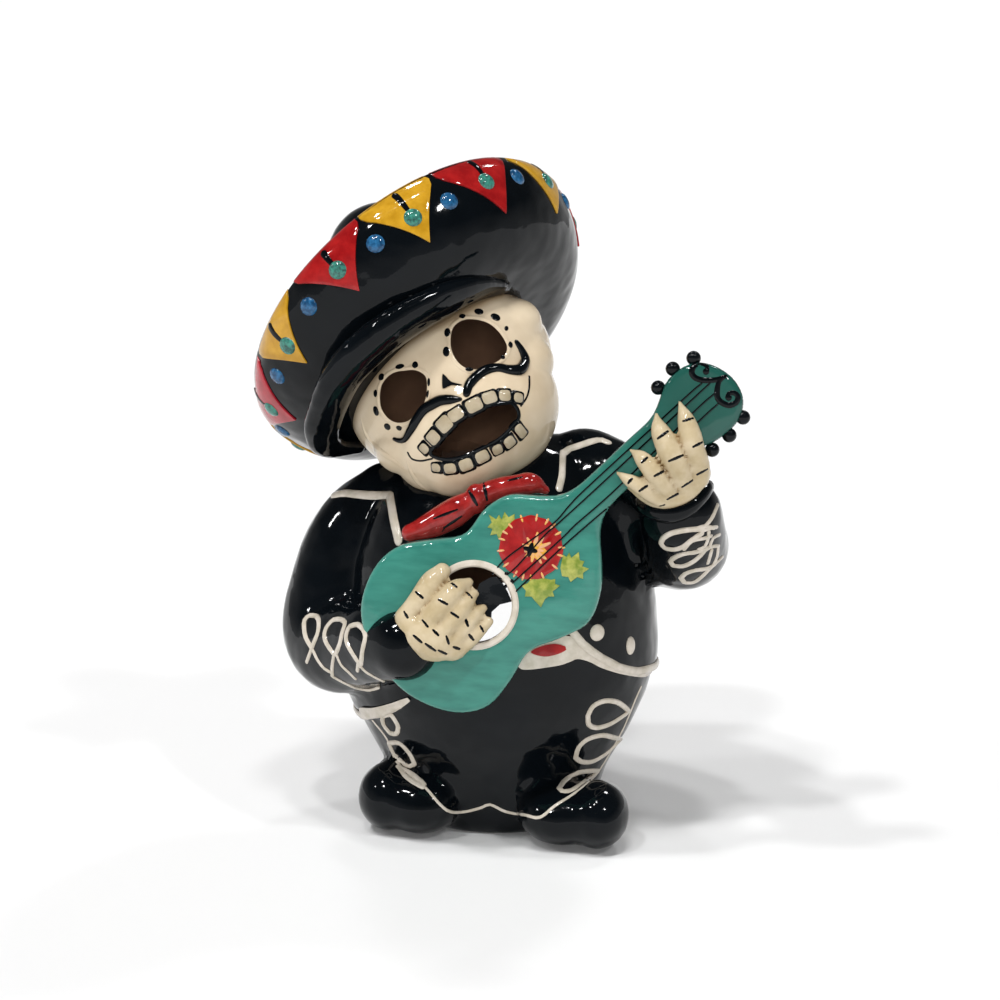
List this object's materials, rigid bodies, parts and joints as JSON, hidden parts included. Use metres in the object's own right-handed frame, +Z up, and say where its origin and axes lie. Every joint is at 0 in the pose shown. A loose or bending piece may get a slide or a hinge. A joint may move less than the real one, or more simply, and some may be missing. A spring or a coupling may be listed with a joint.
{
  "type": "figurine tealight holder",
  "caption": "Glazed ceramic skeleton mariachi in a sombrero playing a guitar, hollow, with open eyes, mouth and sound hole and an arched back door for a tealight.",
  "frame": {"origin": "centre of the bounding box on the ground plane under the shoes", "axes": "+Z up; the figure faces -Y, its fret hand towards +X"},
  "size_m": [0.1761, 0.1502, 0.2381],
  "materials": {
    "glazed_earthenware": "glossy glaze, hand painted"
  },
  "bodies": {
    "root": {"figurine": "glazed_earthenware"}
  },
  "joints": []
}
